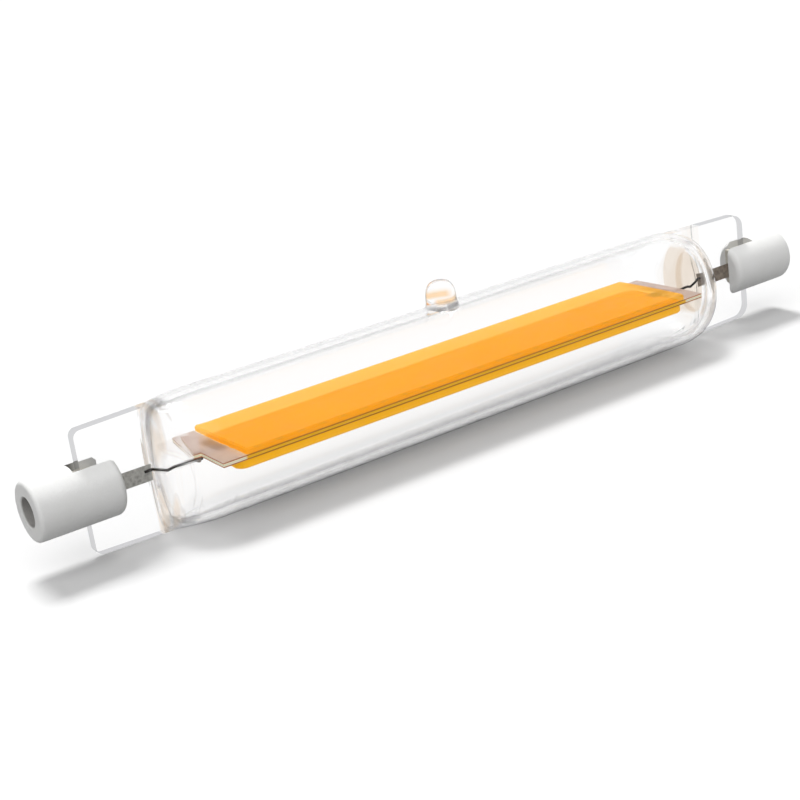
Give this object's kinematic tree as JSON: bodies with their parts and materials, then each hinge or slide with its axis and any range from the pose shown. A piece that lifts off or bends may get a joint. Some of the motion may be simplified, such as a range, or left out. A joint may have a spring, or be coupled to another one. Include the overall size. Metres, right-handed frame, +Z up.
{
  "type": "double-ended led lamp",
  "caption": "Clear glass tube lamp with flat sealed ends, slotted ceramic caps with recessed contacts, and an amber phosphor-coated LED board inside.",
  "frame": {"origin": "middle of the lamp on the glass tube's axis, half way between the two caps", "axes": "+X along the lamp towards the right cap, +Z up through the exhaust tip and in the plane of the flat seals, +Y across the LED board"},
  "size_m": [0.1176, 0.016, 0.0194],
  "materials": {
    "clear_glass": "gloss",
    "translucent_board": "satin",
    "chip_sapphire": "gloss",
    "silver_print": "matte",
    "phosphor_gel": "satin",
    "phosphor_gel_lower": "satin",
    "solder": "satin",
    "seal_foil": "satin",
    "dark_wire": "satin",
    "bright_wire": "satin",
    "white_ceramic": "matte",
    "nickel_contact": "satin",
    "cap_cement": "matte"
  },
  "bodies": {
    "root": {"glass_envelope": "clear_glass", "led_board": "translucent_board", "led_chips": "chip_sapphire", "track_pads": "silver_print", "phosphor_top": "phosphor_gel", "phosphor_bottom": "phosphor_gel_lower", "solder_joints": "solder", "foil_left": "seal_foil", "foil_right": "seal_foil", "inner_lead_left": "dark_wire", "inner_lead_right": "dark_wire", "outer_lead_left": "bright_wire", "outer_lead_right": "bright_wire", "cap_left": "white_ceramic", "cap_right": "white_ceramic", "contact_left": "nickel_contact", "contact_right": "nickel_contact", "cement_left": "cap_cement", "cement_right": "cap_cement"}
  },
  "joints": []
}
